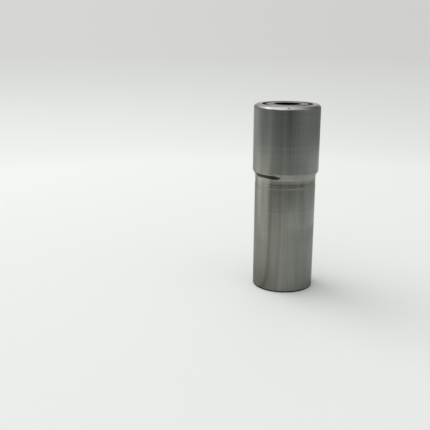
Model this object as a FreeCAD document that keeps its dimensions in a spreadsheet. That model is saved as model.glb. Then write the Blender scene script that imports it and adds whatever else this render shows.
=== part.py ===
import FreeCAD, Part
import os
import Sketcher

# A cold heading die: a stepped round case of hardened steel that holds a hard insert,
# flush with the working face, on a backing plug. A turned relief runs round the insert's nose.
# The axis is Z, the rear face lies on Z = 0 and the working face looks along +Z.

# Driving dimensions in millimetres: name, value, what it is
DIMENSIONS = [
    ("overall_length", 76.2, "rear face to working face"),
    ("shank_diameter", 25.0, "ground shank, held in the machine's die block"),
    ("head_diameter", 27.0, "ground head"),
    ("head_length", 26.7, "working face to the top of the taper under the head"),
    ("taper_height", 2.1, "taper under the head, along the axis"),
    ("taper_top_radius", 1.0, "rounding from the head into the taper"),
    ("taper_foot_radius", 2.5, "cove from the taper into the neck"),
    ("neck_height", 3.9, "ground relief between the taper and the shank"),
    ("neck_step", 0.04, "bevelled step from the shank down into the neck"),
    ("neck_hollow", 0.05, "hollow of the neck at its middle, below its two ends"),
    ("face_edge_radius", 1.45, "rounding of the head's front edge"),
    ("rear_bevel_height", 0.6, "bevel of the shank's rear edge, along the axis"),
    ("rear_bevel_depth", 1.2, "bevel of the shank's rear edge, across the rear face"),
    ("relief_diameter", 20.5, "relief round the insert's nose, outside"),
    ("relief_depth", 5.0, "relief round the insert's nose, below the working face"),
    ("seat_lead_in", 0.5, "chamfer at the mouth of the insert's seat"),
    ("insert_diameter", 17.6, "hard insert, and the case's seat that grips it"),
    ("insert_length", 40.0, "hard insert"),
    ("insert_chamfer", 0.3, "outer edges of the insert"),
    ("die_bore_diameter", 10.9, "bore that holds the blank"),
    ("bore_mouth_radius", 0.1, "rounded mouth of the bore"),
    ("plug_length", 14.0, "backing plug behind the insert"),
    ("plug_clearance", 0.02, "backing plug in the seat, on the radius"),
    ("plug_chamfer", 0.6, "outer edges of the backing plug"),
    ("pin_guide_diameter", 6.5, "hole for the knock-out pin through the plug"),
    ("pin_hole_diameter", 8.0, "hole for the knock-out pin through the case's rear wall"),
    ("pin_hole_chamfer", 0.8, "lead-in at the rear mouth of that hole"),
]

# Radii, heights and fits that follow from the driving dimensions
SHANK_RADIUS = "Size.shank_diameter / 2"
HEAD_RADIUS = "Size.head_diameter / 2"
NECK_RADIUS = "Size.shank_diameter / 2 - Size.neck_step"
NECK_DIAMETER = "Size.shank_diameter - 2 * Size.neck_step"
REAR_FACE_RADIUS = "Size.shank_diameter / 2 - Size.rear_bevel_depth"
WORKING_FACE = "Size.overall_length"
HEAD_FOOT = "Size.overall_length - Size.head_length"
TAPER_FOOT = HEAD_FOOT + " - Size.taper_height"
SHANK_TOP = TAPER_FOOT + " - Size.neck_height"
NECK_FOOT = SHANK_TOP + " + Size.neck_step"
NECK_CHORD = "(Size.neck_height - Size.neck_step)"
NECK_ARC = "(" + NECK_CHORD + " ^ 2 / 4 + Size.neck_hollow ^ 2) / (2 * Size.neck_hollow)"
INSERT_FOOT = "Size.overall_length - Size.insert_length"
PLUG_FOOT = INSERT_FOOT + " - Size.plug_length"
SEAT_DEPTH = "Size.insert_length + Size.plug_length"
PLUG_DIAMETER = "Size.insert_diameter - 2 * Size.plug_clearance"
PIN_HOLE_MOUTH = "Size.pin_hole_diameter + 2 * Size.pin_hole_chamfer"

MATCH = 1e-4        # how near an edge lies to the diameter and height that it is looked for at
LEAST_CUT = 1.0     # a cut that takes less than this, in cubic millimetres, has missed the solid


def make_sheet(doc):
    """Writes the driving dimensions into a spreadsheet, one aliased row each."""
    sheet = doc.addObject("Spreadsheet::Sheet", "Size")
    for row, (name, value, note) in enumerate(DIMENSIONS, start=1):
        sheet.set("A%d" % row, name)
        sheet.set("B%d" % row, str(value))
        sheet.setAlias("B%d" % row, name)
        sheet.set("C%d" % row, note)
    doc.recompute()


def make_body(doc, label, foot):
    """Adds a body whose own origin is raised along the axis to its foot."""
    body = doc.addObject("PartDesign::Body", label)
    body.Label = label
    body.setExpression("Placement.Base.z", foot)
    doc.recompute()
    return body


def value_of(owner, expression):
    """Works out an expression as a plain number."""
    return float(owner.evalExpression(expression))


def make_sketch(body, name, role, height):
    """Attaches an empty sketch to one of the body's own origin planes, raised by a height."""
    plane = next(item for item in body.Origin.OriginFeatures if item.Role == role)
    sketch = body.newObject("Sketcher::SketchObject", name)
    sketch.AttachmentSupport = (plane, [""])
    sketch.MapMode = "FlatFace"
    sketch.setExpression("AttachmentOffset.Base.z", height)
    return sketch


def bind(sketch, constraint, name, expression):
    """Adds a dimension to a sketch and ties it to the sheet."""
    index = sketch.addConstraint(constraint)
    sketch.renameConstraint(index, name)
    sketch.setExpression("Constraints." + name, expression)


def draw_circles(sketch, circles):
    """Draws named circles about the axis, each with its diameter."""
    for name, diameter in circles:
        value = value_of(sketch, diameter)
        shape = Part.Circle(FreeCAD.Vector(0, 0, 0), FreeCAD.Vector(0, 0, 1), value / 2)
        circle = sketch.addGeometry(shape, False)
        sketch.addConstraint(Sketcher.Constraint("Coincident", circle, 3, -1, 1))
        bind(sketch, Sketcher.Constraint("Diameter", circle, value), name, diameter)


def draw_case_section(sketch):
    """Draws half of the case's outline, from the axis round the outside and back."""
    corners = [
        ("rear_centre", "0", "0"),
        ("rear_edge", REAR_FACE_RADIUS, "0"),
        ("rear_bevel", SHANK_RADIUS, "Size.rear_bevel_height"),
        ("shank_top", SHANK_RADIUS, SHANK_TOP),
        ("neck_foot", NECK_RADIUS, NECK_FOOT),
        ("taper_foot", NECK_RADIUS, TAPER_FOOT),
        ("head_foot", HEAD_RADIUS, HEAD_FOOT),
        ("face_edge", HEAD_RADIUS, WORKING_FACE),
        ("face_centre", "0", WORKING_FACE),
    ]
    points = [FreeCAD.Vector(value_of(sketch, radius), value_of(sketch, height), 0)
              for name, radius, height in corners]
    hollow = FreeCAD.Vector(value_of(sketch, "Size.neck_hollow"), 0, 0)

    edges = []
    for index, (name, radius, height) in enumerate(corners):
        start = points[index]
        finish = points[(index + 1) % len(points)]
        if name == "neck_foot":
            # The neck is hollow, so its arc's own start is at its upper end
            arc = sketch.addGeometry(Part.Arc(start, (start + finish) / 2 - hollow, finish), False)
            edges.append((arc, 2, 1))
        else:
            edges.append((sketch.addGeometry(Part.LineSegment(start, finish), False), 1, 2))

    for index, (name, radius, height) in enumerate(corners):
        edge, start, finish = edges[index]
        after, after_start, after_finish = edges[(index + 1) % len(edges)]
        sketch.addConstraint(Sketcher.Constraint("Coincident", edge, finish, after, after_start))
        if radius == "0":
            sketch.addConstraint(Sketcher.Constraint("PointOnObject", edge, start, -2))
        else:
            across = Sketcher.Constraint("DistanceX", -1, 1, edge, start, points[index].x)
            bind(sketch, across, name + "_radius", radius)
        if height == "0":
            sketch.addConstraint(Sketcher.Constraint("PointOnObject", edge, start, -1))
        else:
            along = Sketcher.Constraint("DistanceY", -1, 1, edge, start, points[index].y)
            bind(sketch, along, name + "_height", height)
        if name == "neck_foot":
            bind(sketch, Sketcher.Constraint("Radius", edge, value_of(sketch, NECK_ARC)), "neck_arc", NECK_ARC)


def revolve(body, sketch, name):
    """Turns a half section once round the sketch's upright axis."""
    feature = body.newObject("PartDesign::Revolution", name)
    feature.Profile = sketch
    feature.ReferenceAxis = (sketch, ["V_Axis"])
    feature.Angle = 360
    body.Document.recompute()
    return feature


def pad(body, sketch, name, length):
    """Raises a sketch along the axis."""
    feature = body.newObject("PartDesign::Pad", name)
    feature.Profile = sketch
    feature.setExpression("Length", length)
    body.Document.recompute()
    return feature


def check_cut(body, name, before):
    """Stops if a cutting feature has taken nothing away."""
    if before - body.Shape.Volume < LEAST_CUT:
        raise RuntimeError(name + " cuts nothing")


def pocket(body, sketch, name, depth):
    """Sinks a sketch downwards to a depth."""
    before = body.Shape.Volume
    feature = body.newObject("PartDesign::Pocket", name)
    feature.Profile = sketch
    feature.setExpression("Length", depth)
    body.Document.recompute()
    check_cut(body, name, before)
    return feature


def rear_hole(body, sketch, name, diameter, mouth):
    """Drills up through the body from a sketch on its rear face, with a countersunk mouth."""
    body.Document.recompute()
    before = body.Shape.Volume
    feature = body.newObject("PartDesign::Hole", name)
    feature.Profile = sketch
    feature.DepthType = "ThroughAll"
    feature.Reversed = True
    feature.setExpression("Diameter", diameter)
    feature.HoleCutType = "Countersink"
    feature.HoleCutCountersinkAngle = 90
    feature.setExpression("HoleCutDiameter", mouth)
    body.Document.recompute()
    check_cut(body, name, before)
    return feature


def edges_at(body, places):
    """Names the round edges of the body so far, each given by its diameter and height in the body."""
    names = []
    for diameter, height in places:
        radius = value_of(body, diameter) / 2
        level = value_of(body, height)
        found = ["Edge%d" % index for index, edge in enumerate(body.Tip.Shape.Edges, start=1)
                 if isinstance(edge.Curve, Part.Circle)
                 and abs(edge.Curve.Radius - radius) < MATCH and abs(edge.Curve.Center.z - level) < MATCH]
        if not found:
            raise RuntimeError("no round edge of diameter %s at height %s" % (diameter, height))
        names.extend(found)
    return names


def chamfer(body, name, places, size):
    """Chamfers round edges at 45 degrees."""
    base = (body.Tip, edges_at(body, places))
    feature = body.newObject("PartDesign::Chamfer", name)
    feature.Base = base
    feature.setExpression("Size", size)
    body.Document.recompute()


def fillet(body, name, places, radius):
    """Rounds round edges."""
    base = (body.Tip, edges_at(body, places))
    feature = body.newObject("PartDesign::Fillet", name)
    feature.Base = base
    feature.setExpression("Radius", radius)
    body.Document.recompute()


def make_die_case(doc):
    """The case: one turned, hardened and ground piece, bored from the front for the insert and plug."""
    body = make_body(doc, "die_case", "0")

    outline = make_sketch(body, "case_section", "XZ_Plane", "0")
    draw_case_section(outline)
    revolve(body, outline, "case_blank")

    seat = make_sketch(body, "seat_circle", "XY_Plane", WORKING_FACE)
    draw_circles(seat, [("seat", "Size.insert_diameter")])
    pocket(body, seat, "insert_seat", SEAT_DEPTH)

    relief = make_sketch(body, "relief_circle", "XY_Plane", WORKING_FACE)
    draw_circles(relief, [("relief", "Size.relief_diameter")])
    pocket(body, relief, "nose_relief", "Size.relief_depth")

    pin_hole = make_sketch(body, "pin_hole_circle", "XY_Plane", "0")
    draw_circles(pin_hole, [("pin_hole", "Size.pin_hole_diameter")])
    rear_hole(body, pin_hole, "knock_out_hole", "Size.pin_hole_diameter", PIN_HOLE_MOUTH)

    relief_floor = WORKING_FACE + " - Size.relief_depth"
    chamfer(body, "seat_lead_in", [("Size.insert_diameter", relief_floor)], "Size.seat_lead_in")
    fillet(body, "face_edge_rounding", [("Size.head_diameter", WORKING_FACE)], "Size.face_edge_radius")
    fillet(body, "taper_top_rounding", [("Size.head_diameter", HEAD_FOOT)], "Size.taper_top_radius")
    fillet(body, "taper_foot_cove", [(NECK_DIAMETER, TAPER_FOOT)], "Size.taper_foot_radius")
    return body


def make_die_insert(doc):
    """The insert: a plain hard ring, ground flush with the case's face."""
    body = make_body(doc, "die_insert", INSERT_FOOT)

    ring = make_sketch(body, "insert_ring", "XY_Plane", "0")
    draw_circles(ring, [("outside", "Size.insert_diameter"), ("bore", "Size.die_bore_diameter")])
    pad(body, ring, "insert_blank", "Size.insert_length")

    outer_edges = [("Size.insert_diameter", "0"), ("Size.insert_diameter", "Size.insert_length")]
    chamfer(body, "insert_edges", outer_edges, "Size.insert_chamfer")
    fillet(body, "bore_mouth", [("Size.die_bore_diameter", "Size.insert_length")], "Size.bore_mouth_radius")
    return body


def make_backing_plug(doc):
    """The backing plug: the hardened disc that closes the bore's rear end and guides the knock-out pin."""
    body = make_body(doc, "backing_plug", PLUG_FOOT)

    ring = make_sketch(body, "plug_ring", "XY_Plane", "0")
    draw_circles(ring, [("outside", PLUG_DIAMETER), ("pin_guide", "Size.pin_guide_diameter")])
    pad(body, ring, "plug_blank", "Size.plug_length")

    outer_edges = [(PLUG_DIAMETER, "0"), (PLUG_DIAMETER, "Size.plug_length")]
    chamfer(body, "plug_edges", outer_edges, "Size.plug_chamfer")
    return body


def check_document(doc, bodies):
    """Stops if any object failed, or any piece isn't one sound solid."""
    for item in doc.Objects:
        if "Invalid" in item.State or "Error" in item.State:
            raise RuntimeError(item.Label + " is in state " + ", ".join(item.State))
    for body in bodies:
        if body.Shape.isNull() or not body.Shape.isValid() or len(body.Shape.Solids) != 1:
            raise RuntimeError(body.Label + " is not one valid solid")


doc = FreeCAD.newDocument("ColdHeadingDie")
make_sheet(doc)
bodies = [make_die_case(doc), make_die_insert(doc), make_backing_plug(doc)]
doc.recompute()
check_document(doc, bodies)

os.makedirs("parts", exist_ok=True)
for body in bodies:
    body.Shape.exportStep(os.path.join("parts", body.Label + ".step"))
    box = body.Shape.BoundBox
    print("%s: volume %.1f mm3, height %.2f to %.2f mm" % (body.Label, body.Shape.Volume, box.ZMin, box.ZMax))
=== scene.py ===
from math import pi, radians

import bmesh
import bpy
from mathutils import Matrix, Vector


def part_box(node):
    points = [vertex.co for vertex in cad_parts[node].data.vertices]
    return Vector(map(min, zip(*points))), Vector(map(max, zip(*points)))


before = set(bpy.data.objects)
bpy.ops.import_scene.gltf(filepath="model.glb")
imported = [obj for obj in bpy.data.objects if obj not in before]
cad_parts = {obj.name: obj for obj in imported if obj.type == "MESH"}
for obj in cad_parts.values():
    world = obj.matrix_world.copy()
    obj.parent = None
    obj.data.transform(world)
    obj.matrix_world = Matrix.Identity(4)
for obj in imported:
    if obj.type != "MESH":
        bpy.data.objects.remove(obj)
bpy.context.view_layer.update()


# The die case: one piece of hardened tool steel, turned to a stepped outline and then ground
# between centres, so its marks run round it. Its mouth is relieved round the insert, and the
# relief keeps some of the skin of the hardening.
MM = 0.001


class Value:
    """A shader socket that Python's own operators work on."""

    def __init__(self, tree, socket):
        self.tree = tree
        self.socket = socket

    def __add__(self, other):
        return self.tree.maths("ADD", self, other)

    def __radd__(self, other):
        return self.tree.maths("ADD", other, self)

    def __sub__(self, other):
        return self.tree.maths("SUBTRACT", self, other)

    def __rsub__(self, other):
        return self.tree.maths("SUBTRACT", other, self)

    def __mul__(self, other):
        return self.tree.maths("MULTIPLY", self, other)

    def __rmul__(self, other):
        return self.tree.maths("MULTIPLY", other, self)

    def __truediv__(self, other):
        return self.tree.maths("DIVIDE", self, other)

    def __pow__(self, other):
        return self.tree.maths("POWER", self, other)


class Tree:
    """The nodes of one material, or of the world."""

    def __init__(self, owner):
        owner.use_nodes = True
        self.nodes = owner.node_tree.nodes
        self.links = owner.node_tree.links
        self.nodes.clear()

    def node(self, kind, settings, sockets, output=0):
        """Adds a node: its settings first, then its sockets' values or links. Returns one output."""
        made = self.nodes.new(kind)
        for name, setting in settings.items():
            if name == "stops":
                ramp = made.color_ramp
                for place, colour in setting[len(ramp.elements):]:
                    ramp.elements.new(place)
                for element, (place, colour) in zip(ramp.elements, setting):
                    element.position = place
                    element.color = colour
            else:
                setattr(made, name, setting)
        for name, value in sockets.items():
            if isinstance(value, Value):
                self.links.new(value.socket, made.inputs[name])
            else:
                made.inputs[name].default_value = value
        if not made.outputs:
            return made
        return Value(self, made.outputs[output])

    def maths(self, operation, first, second):
        return self.node("ShaderNodeMath", {"operation": operation}, {0: first, 1: second})

    def step(self, value, low, high):
        """Rises smoothly from 0 at low to 1 at high."""
        ends = {"Value": value, "From Min": low, "From Max": high}
        return self.node("ShaderNodeMapRange", {"interpolation_type": "SMOOTHSTEP"}, ends)

    def within(self, value, rise, fall):
        """1 between two soft edges: it rises over the first pair of values and falls over the second.
        None stands for no edge."""
        above = self.step(value, *rise) if rise else 1
        below = 1 - self.step(value, *fall) if fall else 1
        return above * below

    def blend(self, share, first, second):
        """Mixes two colours."""
        return self.node("ShaderNodeMix", {"data_type": "RGBA"}, {0: share, 6: first, 7: second}, 2)

    def place(self):
        """The point on the piece in millimetres: its distance from the axis, its height, and its side."""
        point = self.node("ShaderNodeTexCoord", {}, {}, "Object")
        x, y, z = [self.node("ShaderNodeSeparateXYZ", {}, {0: point}, axis) / MM for axis in range(3)]
        radius = (x * x + y * y) ** 0.5
        return radius, z, x / radius, y / radius

    def noise(self, x, y, z, detail):
        """Noise from 0 to 1, at the point that three values give."""
        point = self.node("ShaderNodeCombineXYZ", {}, {0: x, 1: y, 2: z})
        return self.node("ShaderNodeTexNoise", {}, {"Vector": point, "Scale": 1.0, "Detail": detail})

    def marks(self, east, north, along, pattern):
        """Noise drawn out round the die. A pattern is how fast it changes round the die, how fast it
        changes with each millimetre along, and its detail."""
        around, per_mm, detail = pattern
        return self.noise(east * around, north * around, along * per_mm, detail)

    def bare_metal(self, colour, roughness, normal, edge_tone, drawn_out):
        """Finishes a material as bare metal. Its gloss is drawn out across the marks that run round it,
        from 0, not at all, to 1."""
        surface = self.node("ShaderNodeBsdfPrincipled", {}, {
            "Base Color": colour, "Metallic": 1.0, "Roughness": roughness, "Normal": normal,
            "Specular Tint": (edge_tone, edge_tone, edge_tone, 1.0),
            "Anisotropic": drawn_out, "Anisotropic Rotation": 0.25})
        self.node("ShaderNodeOutputMaterial", {}, {"Surface": surface})


# Sizes along the die are in millimetres, and its sides, east and north, run from -1 to 1.
# A pair is where a mark or a finish starts and where it is full.
case_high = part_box("die_case")[1]
FACE = case_high.z / MM
HEAD_RADIUS = case_high.x / MM
HEAD_LENGTH = 26.7
TAPER_HEIGHT = 2.1
NECK_HEIGHT = 3.9
HEAD_FOOT = FACE - HEAD_LENGTH
TAPER_FOOT = HEAD_FOOT - TAPER_HEIGHT
NECK_FOOT = TAPER_FOOT - NECK_HEIGHT
NECK_MIDDLE = NECK_FOOT + NECK_HEIGHT / 2
NECK_HOLLOW = 0.05
EDGE_ROUNDING = 1.45
RELIEF_RADIUS = 10.25
REAR_BEVEL = 0.6
FACE_EDGE = (FACE - 0.04, FACE - 0.01)
ROUNDING_EDGE = (FACE - EDGE_ROUNDING, FACE - EDGE_ROUNDING + 0.1)
MOUTH_WALL = (RELIEF_RADIUS, RELIEF_RADIUS + 0.05)
MOUTH_TOP = (FACE - 0.25, FACE - 0.05)
REAR_EDGE = (REAR_BEVEL - 0.04, REAR_BEVEL)
SHARP_MARKS = (22.0, 36.0)
DULL_SHARPNESS = 0.35
LIGHT_NECK = (NECK_FOOT + 1.6, NECK_FOOT + 3.0)
LIGHT_NECK_TOP = (HEAD_FOOT - 0.3, HEAD_FOOT)
SMOOTH_NECK = (NECK_FOOT + 0.05, NECK_FOOT + 0.2)
SMOOTH_NECK_TOP = (NECK_FOOT + 1.6, NECK_FOOT + 2.6)
BEVEL_FOOT = (NECK_FOOT - 0.16, NECK_FOOT - 0.10)
BEVEL_TOP = (NECK_FOOT - 0.02, NECK_FOOT + 0.04)
BEVEL_HIGHLIGHT_WIDENS = (-0.1, 0.25)
BEVEL_HIGHLIGHT_WIDENING = 0.28
NICK_SIDE = 0.05
NICK_DROP = 0.52
NICK_WIDTH = 0.62
NICK_HEIGHT = 0.248

# The ground marks: fine rings round the outside, a few wide and deeper ones, upright lobes that
# the wheel's chatter left, cloudy patches, and finer rings on the face.
FINE_RINGS = (1.5, 7.0, 3.0)
WIDE_RINGS = (0.6, 1.6, 2.0)
LOBES = (6.5, 0.03, 2.0)
CLOUDS = (4.0, 0.22, 4.0)
FACE_RINGS = (1.2, 6.0, 3.0)
DEEP_RING = (0.66, 0.70)
LOBE_EDGE = (0.32, 0.68)
MARK_DEPTH = 0.01 * MM
MARK_STRENGTH = 0.08

STEEL = (0.300, 0.309, 0.291, 1.0)
DULL_STEEL = (0.257, 0.264, 0.249, 1.0)
FACE_STEEL = (0.280, 0.285, 0.271, 1.0)
EDGE_STEEL_AND_HIGHLIGHT = (0.465, 0.47, 0.45, 1.0)
PALE_STEEL_AND_NECK_REFLECTION = (0.36, 0.364, 0.340, 1.0)
BEVEL_STEEL_AND_HIGHLIGHT = (0.36, 0.365, 0.345, 1.0)
NICK_SHADE = (0.17, 0.17, 0.165, 1.0)
MOUTH_SKIN = (0.32, 0.32, 0.31, 1.0)
CORNER_REFLECTION_DARK = (0.05, 0.051, 0.047, 1.0)
PAINTED_SHADE_BLACK = (0.008, 0.008, 0.009, 1.0)
GROUND_ROUGHNESS = 0.135
CASE_EDGE_TONE = 0.75
CASE_DRAWN_OUT = 0.5

# The dark line in the corner under the head runs over the front left; it is a painted dark
# reflection. It is a band between a foot and a top, which come together towards its right end.
LINE_FOOT = TAPER_FOOT - 0.15
LINE_TOP = TAPER_FOOT + 1.50
LINE_SOFTNESS = 0.15
LINE_START = (-0.95, -0.86)
LINE_END = (-0.18, -0.12)
LINE_FRONT = (-0.1, 0.0)
LINE_FOOT_RISES = (-0.30, -0.14)
LINE_FOOT_RISE = 0.45
LINE_START_SINKS = (-0.70, -0.40)
LINE_START_RISE = 0.27
LINE_TOP_DROPS = (-0.36, -0.08)
LINE_TOP_DROP = 0.75


def painted_corner_reflection(tree, height, east, north):
    """1 on the painted dark reflection, a dark line in the corner under the head."""
    foot = LINE_FOOT + tree.step(east, *LINE_FOOT_RISES) * LINE_FOOT_RISE
    foot = foot + (1 - tree.step(east, *LINE_START_SINKS)) * LINE_START_RISE
    top = LINE_TOP - tree.step(east, *LINE_TOP_DROPS) * LINE_TOP_DROP
    above_foot = tree.step(height - foot, -LINE_SOFTNESS, LINE_SOFTNESS)
    below_top = 1 - tree.step(height - top, -LINE_SOFTNESS, LINE_SOFTNESS)
    on_front_left = tree.within(east, LINE_START, LINE_END) * (1 - tree.step(north, *LINE_FRONT))
    return above_foot * below_top * on_front_left


ground_steel = bpy.data.materials.new("ground_tool_steel")
tree = Tree(ground_steel)
radius, height, east, north = tree.place()
on_face = tree.step(height, *FACE_EDGE)
in_mouth = (1 - tree.step(radius, *MOUTH_WALL)) * (1 - tree.step(height, *MOUTH_TOP))
on_rounding = tree.step(height, *ROUNDING_EDGE) * (1 - on_face) * (1 - in_mouth)
# The rear bevel is painted near black: painted shade, the contact shadow under the die's foot.
rear_bevel_shade = 1 - tree.step(height, *REAR_EDGE)

# The marks are worn down low on the shank.
sharpness = DULL_SHARPNESS + tree.step(height, *SHARP_MARKS) * (1 - DULL_SHARPNESS)
fine = (tree.marks(east, north, height, FINE_RINGS) - 0.5) * sharpness + 0.5
wide = tree.marks(east, north, height, WIDE_RINGS)
deep = tree.step(wide, *DEEP_RING) * sharpness
lobes = tree.step(tree.marks(east, north, height, LOBES), *LOBE_EDGE)
clouds = tree.marks(east, north, height, CLOUDS)
ground = fine * (1 - on_face) + tree.marks(east, north, radius, FACE_RINGS) * on_face

# The neck and taper under the head are painted lighter: partly a lighter ground finish, partly
# a painted reflection of the pale floor. The neck is smoother at its foot. The bevel below it is
# left as the wheel's corner cut it; its lighter ring is partly a painted highlight, and is painted
# wider on the right.
neck_reflection_band = tree.within(height, LIGHT_NECK, LIGHT_NECK_TOP)
on_neck_foot = tree.within(height, SMOOTH_NECK, SMOOTH_NECK_TOP)
highlight_widening = tree.step(east, *BEVEL_HIGHLIGHT_WIDENS) * BEVEL_HIGHLIGHT_WIDENING
on_bevel_and_highlight = tree.step(height, *BEVEL_FOOT) * (1 - tree.step(height - highlight_widening, *BEVEL_TOP))
to_middle = (height - NECK_MIDDLE) / (NECK_HEIGHT / 2)
flattened = to_middle * to_middle * tree.within(to_middle, None, (-0.05, 0.0))
flattened = 0 - flattened * NECK_HOLLOW * tree.step(height, NECK_FOOT, NECK_FOOT + 0.05)

# A nick in the front edge: a dent in the bump, and its darker tone is painted shade.
aside = (east - NICK_SIDE) * HEAD_RADIUS / NICK_WIDTH
below = (height - FACE + NICK_DROP) / NICK_HEIGHT
nick = (1 - tree.step(aside * aside + below * below, 0.3, 1.3)) * (1 - tree.step(north, -0.5, 0.0))

colour = tree.blend(lobes * 0.6 + clouds * 0.4 + (wide - 0.5) * 1.5 * sharpness, DULL_STEEL, STEEL)
for where, steel in [
        # lighter neck and taper: partly a lighter finish, partly a painted reflection of the floor
        (neck_reflection_band + deep * 0.3, PALE_STEEL_AND_NECK_REFLECTION),
        # a painted dark reflection in the corner under the head
        (painted_corner_reflection(tree, height, east, north), CORNER_REFLECTION_DARK),
        # the rounded edge, lighter: partly polished, partly a painted highlight
        (on_rounding, EDGE_STEEL_AND_HIGHLIGHT),
        (on_face, FACE_STEEL),
        # the bevel ring, lighter: partly a painted highlight, painted wider on the right
        (on_bevel_and_highlight, BEVEL_STEEL_AND_HIGHLIGHT),
        # the nick's painted shade
        (nick, NICK_SHADE),
        (in_mouth, MOUTH_SKIN),
        # the rear bevel, near black: painted shade under the foot
        (rear_bevel_shade, PAINTED_SHADE_BLACK)]:
    colour = tree.blend(where, colour, steel)
roughness = GROUND_ROUGHNESS + (ground - 0.5) * 0.12 + (clouds - 0.5) * 0.08
for where, rougher in [
        (in_mouth, 0.3),
        (on_rounding, -0.03),
        (on_face, 0.08),
        (neck_reflection_band, 0.05),
        (on_bevel_and_highlight, 0.4),
        (on_neck_foot, -0.08)]:
    roughness = roughness + where * rougher
relief = ground * 1.2 + deep * 0.6 - nick * 8.0
form = tree.node("ShaderNodeBump", {}, {"Strength": 1.0, "Distance": MM, "Height": flattened})
bump = tree.node("ShaderNodeBump", {}, {
    "Strength": MARK_STRENGTH, "Distance": MARK_DEPTH, "Height": relief, "Normal": form})
tree.bare_metal(colour, roughness, bump, CASE_EDGE_TONE, CASE_DRAWN_OUT)
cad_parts["die_case"].data.materials[0] = ground_steel


# The insert: a plain ring of cemented carbide, shrunk into the case and ground flush with its
# face. Its face is lapped to fine rings and its bore is polished; the bore is painted near black as
# painted shade of its depth.
CARBIDE = (0.30, 0.298, 0.286, 1.0)
BORE_SHADE = (0.02, 0.02, 0.02, 1.0)
BORE_EDGE = (6.0, 7.0)
CARBIDE_RINGS = (1.0, 7.0, 3.0)
LAPPED_ROUGHNESS = 0.16
CARBIDE_EDGE_TONE = 0.45
CARBIDE_DRAWN_OUT = 0.4
carbide = bpy.data.materials.new("lapped_carbide")
tree = Tree(carbide)
radius, height, east, north = tree.place()
on_face = tree.step(height, *FACE_EDGE)
in_bore = (1 - on_face) * (1 - tree.step(radius, *BORE_EDGE))
rings = tree.marks(east, north, radius, CARBIDE_RINGS)
colour = tree.blend(rings * 0.4, CARBIDE, PALE_STEEL_AND_NECK_REFLECTION)
# The bore is painted near black: painted shade of its depth.
colour = tree.blend(in_bore, colour, BORE_SHADE)
roughness = LAPPED_ROUGHNESS + rings * 0.08
bump = tree.node("ShaderNodeBump", {}, {"Strength": MARK_STRENGTH, "Distance": MARK_DEPTH, "Height": rings})
tree.bare_metal(colour, roughness, bump, CARBIDE_EDGE_TONE, CARBIDE_DRAWN_OUT)
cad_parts["die_insert"].data.materials[0] = carbide


# The backing plug: a hardened disc pressed in behind the insert, which takes the blow of the
# blank and guides the knock-out pin. It is ground flat, and painted dark as painted shade at the
# bottom of the bore.
SHADED_PLUG_STEEL = (0.12, 0.12, 0.12, 1.0)
PLUG_RINGS = (1.0, 5.0, 3.0)
PLUG_ROUGHNESS = 0.3
PLUG_MARK_STRENGTH = 0.2
hardened = bpy.data.materials.new("plug_steel_painted_shade")
tree = Tree(hardened)
radius, height, east, north = tree.place()
rings = tree.marks(east, north, radius, PLUG_RINGS)
# The plug is painted dark, darker in its rings: painted shade at the bottom of the bore.
colour = tree.blend(rings, SHADED_PLUG_STEEL, PAINTED_SHADE_BLACK)
roughness = PLUG_ROUGHNESS + rings * 0.1
bump = tree.node("ShaderNodeBump", {}, {
    "Strength": PLUG_MARK_STRENGTH, "Distance": MARK_DEPTH, "Height": rings})
tree.bare_metal(colour, roughness, bump, 1.0, 0.0)
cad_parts["backing_plug"].data.materials[0] = hardened


# The floor: a pale sheet. In the steel it shows as the room would have it: bright to the left
# and behind, dim towards the camera, and fading with distance. Distances from the die are in
# metres, and a side is a direction in degrees: -90 is left, 0 is towards the camera.
PAPER = (0.751, 0.77, 0.757, 1.0)
WARM_PAPER = (0.76, 0.755, 0.67, 1.0)
SUNNY_PAPER = (0.98, 0.965, 0.84, 1.0)
UNLIT = (0.02, 0.02, 0.02, 1.0)
LEFT_HORIZON = (0.678, 0.683, 0.670, 1.0)
RIGHT_HORIZON = (0.625, 0.630, 0.618, 1.0)
MIDDLE_GLOW = (0.708, 0.724, 0.709, 1.0)
HORIZON_TURN = (-0.45, 0.25)
FLOOR_HALF = 30.0
UNDER_DIE = 0.0124
FADE_DISTANCE = 0.28
FADE_POWER = -1.1
GLOW_FADE = (0.6, 3.2)
MAT_RADIUS = 0.107
MAT_EDGE = 0.002
OFF_MAT = (MAT_RADIUS - MAT_EDGE, MAT_RADIUS + MAT_EDGE)
LEFT_EDGE = Vector((-0.864, -0.504))
LEFT_EDGE_DISTANCE = 0.077
LEFT_RIM_END = (-50.0, -40.0)
MIDDLE_FLOOR = (0.120, 0.175)
FAR_FLOOR = (0.26, 0.45)
ROOM_BANDS = 6.0
BAND_SHARE = 0.4


def past(low, high):
    """A span with one soft edge, and all that is past it."""
    return (low, high), None


def about(centre, reach):
    """A span that is full at its centre and fades to nothing at its reach."""
    return (centre - reach, centre), (centre, centre + reach)


def patches(tree, side, distance, level, places):
    """Adds patches to a level, each a change over a span of sides and a span of distances."""
    for change, sides, distances in places:
        level = level + tree.within(side, *sides) * tree.within(distance, *distances) * change
    return level


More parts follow.
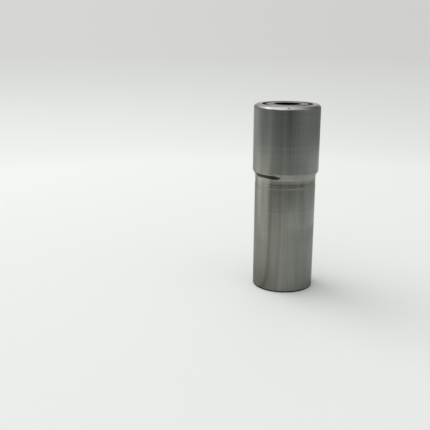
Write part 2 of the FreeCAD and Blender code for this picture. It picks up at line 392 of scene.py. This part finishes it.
# How bright the floor is in the steel: near the die, past the mat where the room is dim and where
# it is pale, and far off. Each patch is a change over a span of sides and a span of distances.
ALL = (None, None)
SHADED_RING = ((0.175, 0.205), (0.235, 0.26))
NEAR_LEVEL = 0.74
NEAR_PATCHES = [
    (0.04, past(0.0, 20.0), ALL),
    (0.14, past(0.0, 20.0), past(*OFF_MAT)),
    (-0.06, about(76.0, 34.0), ALL),
    (-0.20, about(76.0, 34.0), past(*OFF_MAT)),
    (-0.20, about(-52.0, 14.0), ALL),
    (-0.10, past(-5.0, 12.0), about(0.092, 0.020))]
DIM_LEVEL = 0.43
DIM_PATCHES = [
    (0.12, past(20.0, 60.0), ALL),
    (0.14, past(72.0, 105.0), ALL),
    (0.23, ALL, past(0.232, 0.265)),
    (-0.055, ALL, SHADED_RING),
    (-0.14, about(66.0, 14.0), SHADED_RING),
    (-0.04, about(66.0, 12.0), ALL),
    (-0.10, ALL, about(0.224, 0.019))]
PALE_LEVEL = 1.0
PALE_PATCHES = [(-0.10, about(-88.0, 12.0), ALL)]
FAR_LEVEL = 0.75
FAR_PATCHES = [
    (-0.285, past(-113.0, -99.0), ALL),
    (-0.05, about(-74.0, 24.0), ALL),
    (-0.18, ((-66.0, -28.0), (10.0, 58.0)), ALL),
    (-0.05, about(9.0, 14.0), ALL)]
RIM_PATCHES = [
    (0.55, past(45.0, 60.0), about(MAT_RADIUS, MAT_EDGE * 2.2)),
    (0.09, about(45.0, 12.0), ((0.10, 0.14), (0.19, 0.22)))]


def over_floor(tree, output):
    """Reads a point or a direction. Gives it, its x and y, its distance across the floor and its side."""
    point = tree.node("ShaderNodeTexCoord", {}, {}, output)
    x, y = [tree.node("ShaderNodeSeparateXYZ", {}, {0: point}, axis) for axis in range(2)]
    distance = (x * x + y * y) ** 0.5
    side = tree.maths("ARCTAN2", x, 0 - y) * (180.0 / pi)
    return point, x, y, distance, side


def pale_side(tree, side, distance):
    """1 where the room is pale, on the left and behind, apart from one dark stand; 0 where it is dim."""
    edge = tree.step(distance, 0.205, 0.29) * 14.0 - 62.0
    pale = 1 - tree.step(side - edge, -8.0, 8.0) + tree.step(side, 148.0, 168.0)
    return pale * (1 - tree.within(side, *about(-142.0, 22.0)) * 0.6)


def banded(tree, level, across, away):
    """Gives a level the room's upright bands, which go by the direction across and away."""
    bands = tree.noise(across * ROOM_BANDS, away * ROOM_BANDS, 0.0, 1.0) - 0.5
    return level * (1 + bands * BAND_SHARE)


floor_mesh = bmesh.new()
bmesh.ops.create_grid(floor_mesh, x_segments=1, y_segments=1, size=FLOOR_HALF)
mesh = bpy.data.meshes.new("floor")
floor_mesh.to_mesh(mesh)
floor_mesh.free()
floor = bpy.data.objects.new("floor", mesh)
bpy.context.scene.collection.objects.link(floor)
paper = bpy.data.materials.new("pale_paper")
tree = Tree(paper)
point, x, y, distance, side = over_floor(tree, "Object")
pale = pale_side(tree, side, distance)

# The levels are joined from the die outwards. The mat is round with a rim, and on the left a
# straight edge has a rim of its own.
past_left = x * LEFT_EDGE.x + y * LEFT_EDGE.y - LEFT_EDGE_DISTANCE
left_level = 0.88 + tree.step(past_left, -MAT_EDGE, MAT_EDGE) * 0.12
left_rim = tree.within(past_left, *about(0.0, MAT_EDGE)) * tree.within(side, None, LEFT_RIM_END)
foot_shade = (1 - tree.step(distance, 0.015, 0.06)) * (1 - tree.step(side, -40.0, 0.0))
near_level = patches(tree, side, distance, NEAR_LEVEL, NEAR_PATCHES) * (1 - pale) + left_level * pale
near_level = near_level * (1 - foot_shade * 0.30)
dim_level = patches(tree, side, distance, DIM_LEVEL, DIM_PATCHES)
middle_level = dim_level * (1 - pale) + patches(tree, side, distance, PALE_LEVEL, PALE_PATCHES) * pale
far = tree.step(distance, *FAR_FLOOR)
beyond_level = middle_level * (1 - far) + patches(tree, side, distance, FAR_LEVEL, FAR_PATCHES) * far
beyond = tree.step(distance, *MIDDLE_FLOOR)
level = near_level * (1 - beyond) + beyond_level * beyond + left_rim * 0.32
level = patches(tree, side, distance, level, RIM_PATCHES)
level = banded(tree, level, x / distance, y / distance)

# In the steel the sheet is warmer near the die, and warmest behind on the left.
reflected = tree.node("ShaderNodeLightPath", {}, {}, "Is Glossy Ray")
warmth = (1 - tree.step(distance, 0.18, 0.36)) * (0.75 - tree.step(side, -70.0, 60.0) * 0.5)
sunny = tree.within(side, *about(-111.0, 16.0)) * tree.within(distance, (0.07, 0.13), (0.28, 0.36))
tone = tree.blend(reflected * warmth, PAPER, WARM_PAPER)
tone = tree.blend(reflected * sunny, tone, SUNNY_PAPER)
lit = tree.node("ShaderNodeBsdfDiffuse", {}, {"Color": tone})

# Where the room is dim the sheet is unlit in the steel. A dark disc just inside the die's foot
# keeps light from leaking in under it.
dark = tree.node("ShaderNodeBsdfDiffuse", {}, {"Color": UNLIT})
under_die = 1 - tree.step(distance, UNDER_DIE - 0.0003, UNDER_DIE)
hidden = reflected * (1 - level) + under_die * (1 - reflected)
surface = tree.node("ShaderNodeMixShader", {}, {0: hidden, 1: lit, 2: dark})

# To the camera the sheet fades into the horizon, with a paler stretch before it.
seen = tree.node("ShaderNodeLightPath", {}, {}, "Is Camera Ray")
rightwards = tree.step(x / distance, *HORIZON_TURN)
nearer = (1 - tree.step(distance, *GLOW_FADE)) * (1 - rightwards * 0.5)
horizon = tree.blend(rightwards, LEFT_HORIZON, RIGHT_HORIZON)
horizon = tree.blend(nearer, horizon, MIDDLE_GLOW)
glow = tree.node("ShaderNodeEmission", {}, {"Color": horizon})
nearness = ((distance + 0.001) / FADE_DISTANCE) ** FADE_POWER
fade = tree.step(distance, FADE_DISTANCE * 0.8, FADE_DISTANCE * 1.3) * (1 - nearness)
surface = tree.node("ShaderNodeMixShader", {}, {0: seen * fade, 1: surface, 2: glow})
tree.node("ShaderNodeOutputMaterial", {}, {"Surface": surface})
mesh.materials.append(paper)


# The light: a soft round panel overhead towards the front left, a soft lamp behind on the left,
# which throws the shadow to the right, and a pale room that is dim behind the camera.
PANEL_CENTRE = Vector((-0.646, -0.487, 0.588)).normalized()
PANEL_LIGHT = 2.76
PANEL_EDGE = (-0.44, 2.19)
PANEL_FOOT = (0.03, 0.58)
SPOT_CENTRE = Vector((-0.764, -0.053, 0.643)).normalized()
SPOT_LIGHT = 1.68
SPOT_EDGE = (0.971, 0.998)
OVERHEAD_LIGHT = 0.50
ROOM_LIGHT = 0.89
LIGHT_COLOUR = (1.0, 1.0, 0.985)
ROOM_LEVELS = [
    (-180, 0.86), (-150, 0.40), (-120, 0.25), (-100, 0.22), (-85, 0.13), (-70, 0.31), (-50, 0.06),
    (-20, 0.28), (10, 0.04), (40, 0.27), (70, 0.39), (100, 0.26), (130, 0.18), (155, 0.32), (180, 0.86)]
world = bpy.data.worlds.new("studio")
bpy.context.scene.world = world
tree = Tree(world)
direction, x, y, flat, side = over_floor(tree, "Generated")
above = tree.node("ShaderNodeSeparateXYZ", {}, {0: direction}, 2)
seen = tree.node("ShaderNodeLightPath", {}, {}, "Is Camera Ray")
scattered = tree.node("ShaderNodeLightPath", {}, {}, "Is Diffuse Ray")
towards = tree.node("ShaderNodeVectorMath", {"operation": "DOT_PRODUCT"}, {0: direction, 1: PANEL_CENTRE}, 1)
panel = tree.step(towards, *PANEL_EDGE) * tree.step(above, *PANEL_FOOT) * PANEL_LIGHT
towards = tree.node("ShaderNodeVectorMath", {"operation": "DOT_PRODUCT"}, {0: direction, 1: SPOT_CENTRE}, 1)
spot = tree.step(towards, *SPOT_EDGE) * SPOT_LIGHT
overhead = above * OVERHEAD_LIGHT * scattered
stops = [((place + 180) / 360, (tone, tone, tone, 1.0)) for place, tone in ROOM_LEVELS]
level = tree.node("ShaderNodeValToRGB", {"stops": stops}, {"Fac": (side + 180) / 360})
level = banded(tree, level, x / flat, y / flat)
strength = (level + panel * (1 - scattered * 0.5) + overhead + spot) * ROOM_LIGHT
lit = tree.node("ShaderNodeBackground", {}, {"Color": (*LIGHT_COLOUR, 1.0), "Strength": strength})
horizon = tree.blend(tree.step(x / flat, *HORIZON_TURN), LEFT_HORIZON, RIGHT_HORIZON)
glow = tree.node("ShaderNodeBackground", {}, {"Color": horizon})
surface = tree.node("ShaderNodeMixShader", {}, {0: seen, 1: lit, 2: glow})
tree.node("ShaderNodeOutputWorld", {}, {"Surface": surface})

LAMP_PLACE = Vector((-0.654, 0.445, 0.85))
LAMP_SIZE = 0.71
LAMP_WATTS = 4.2
lamp_data = bpy.data.lights.new("left_lamp", "AREA")
lamp_data.size = LAMP_SIZE
lamp_data.energy = LAMP_WATTS
lamp_data.color = LIGHT_COLOUR
lamp = bpy.data.objects.new("left_lamp", lamp_data)
lamp.matrix_world = Matrix.Translation(LAMP_PLACE) @ LAMP_PLACE.to_track_quat("Z", "Y").to_matrix().to_4x4()
lamp.visible_glossy = False
bpy.context.scene.collection.objects.link(lamp)


# The camera: where the photograph was taken from.
LENS = 57.01
CAMERA_PLACE = Vector((0.0, -0.2776, 0.1030))
PITCH = -14.86
YAW = 5.98
ROLL = 0.30
camera_data = bpy.data.cameras.new("camera")
camera_data.lens = LENS
camera_data.sensor_width = 36.0
camera = bpy.data.objects.new("camera", camera_data)
turn = Matrix.Rotation(radians(YAW), 4, "Z") @ Matrix.Rotation(radians(90.0 + PITCH), 4, "X")
camera.matrix_world = Matrix.Translation(CAMERA_PLACE) @ turn @ Matrix.Rotation(radians(ROLL), 4, "Z")
bpy.context.scene.collection.objects.link(camera)
bpy.context.scene.camera = camera
bpy.context.scene.view_settings.view_transform = "Standard"
